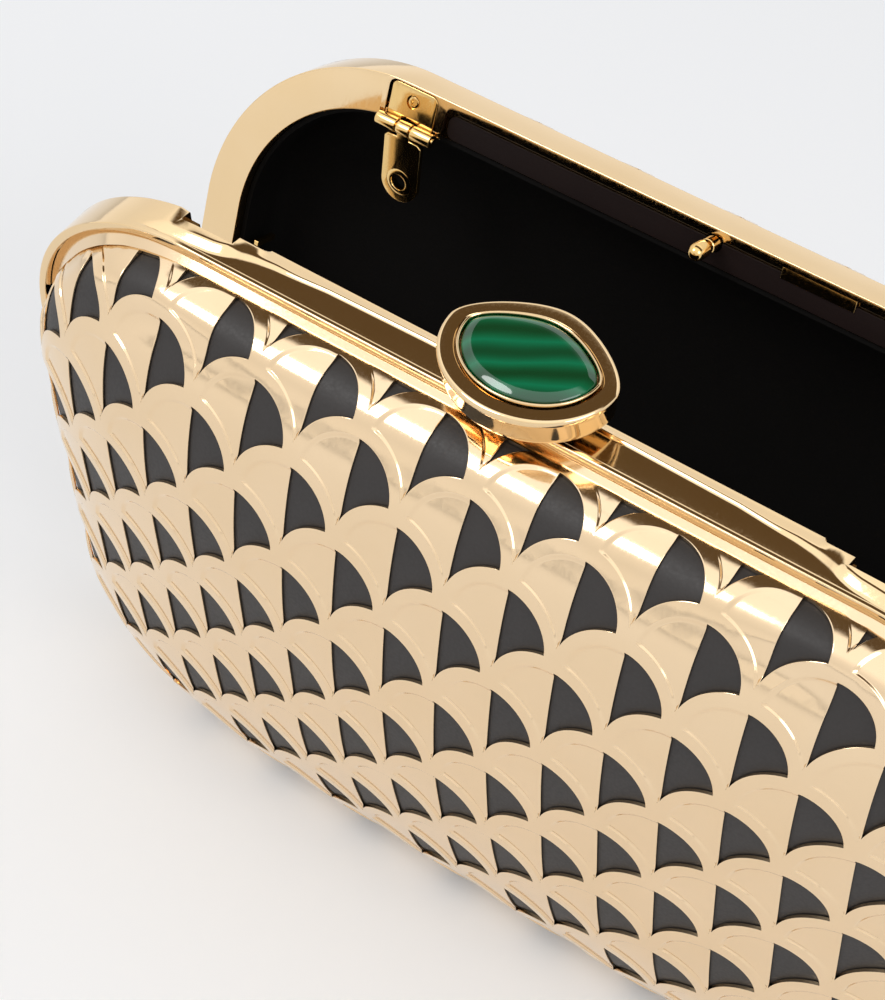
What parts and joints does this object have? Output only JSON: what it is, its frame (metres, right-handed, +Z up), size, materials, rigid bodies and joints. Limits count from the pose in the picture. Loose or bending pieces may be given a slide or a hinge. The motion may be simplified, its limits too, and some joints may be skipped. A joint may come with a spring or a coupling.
{
  "type": "hard evening clutch bag",
  "caption": "Gold framed hard evening clutch standing open, fish-scale openwork cages over black leather, stone-set push clasp on top and folding chain lugs inside.",
  "frame": {"origin": "middle of the ground outline, on the surface that the open case stands on", "axes": "+X to the viewer's right along the hinge line, +Y towards the rear half, +Z up"},
  "size_m": [0.18, 0.0868, 0.1241],
  "materials": {
    "pale_gold": "polished pale gold plate",
    "yellow_gold": "polished yellow gold plate",
    "steel": "satin",
    "leather": "fine grain, semi-gloss",
    "lining": "matt suede",
    "stone": "polished banded green stone"
  },
  "bodies": {
    "root": {"rear_frame": "pale_gold", "rear_cage": "pale_gold", "rear_leather": "leather", "rear_lining": "lining", "rear_lip_leather": "leather", "keeper_plate": "yellow_gold", "strike_pin": "yellow_gold", "left_side_bar": "yellow_gold", "right_side_bar": "yellow_gold", "left_hinge_rear_leaf": "yellow_gold", "left_hinge_pin": "yellow_gold", "left_hinge_rear_screw_1": "yellow_gold", "left_hinge_rear_screw_2": "yellow_gold", "left_lug_leaf": "yellow_gold", "left_lug_pin": "yellow_gold", "left_lug_screw": "yellow_gold", "right_hinge_rear_leaf": "yellow_gold", "right_hinge_pin": "yellow_gold", "right_hinge_rear_screw_1": "yellow_gold", "right_hinge_rear_screw_2": "yellow_gold", "right_lug_leaf": "yellow_gold", "right_lug_pin": "yellow_gold", "right_lug_screw": "yellow_gold"},
    "front_half": {"front_frame": "pale_gold", "front_cage": "pale_gold", "front_leather": "leather", "front_lining": "lining", "clasp_base": "pale_gold", "clasp_spring": "steel", "left_hinge_front_leaf": "yellow_gold", "left_hinge_front_screw_1": "yellow_gold", "left_hinge_front_screw_2": "yellow_gold", "right_hinge_front_leaf": "yellow_gold", "right_hinge_front_screw_1": "yellow_gold", "right_hinge_front_screw_2": "yellow_gold"},
    "clasp": {"clasp_cap": "pale_gold", "clasp_bezel": "pale_gold", "clasp_stone": "stone", "latch_plate": "steel"},
    "left_lug": {"left_lug_tab": "yellow_gold", "left_lug_eyelet": "yellow_gold"},
    "right_lug": {"right_lug_tab": "yellow_gold", "right_lug_eyelet": "yellow_gold"}
  },
  "joints": [
    {"name": "main_hinge", "type": "hinge", "parent": "root", "child": "front_half", "pos_m": [0, 0, 0.00122], "axis": [1, 0, 0], "range_deg": [-23.7, 0]},
    {"name": "left_lug_hinge", "type": "hinge", "parent": "root", "child": "left_lug", "pos_m": [-0.05485, 0.02216, 0.10855], "axis": [1, 0, 0], "range_deg": [-185.8, 0]},
    {"name": "right_lug_hinge", "type": "hinge", "parent": "root", "child": "right_lug", "pos_m": [0.05485, 0.02216, 0.10855], "axis": [1, 0, 0], "range_deg": [-185.8, 0]},
    {"name": "clasp_press", "type": "slide", "parent": "front_half", "child": "clasp", "axis": [0, 0.2053, -0.9787], "range_m": [0, 0.0008], "stiffness_N_per_m": 500, "springref_m": -0.0015}
  ]
}
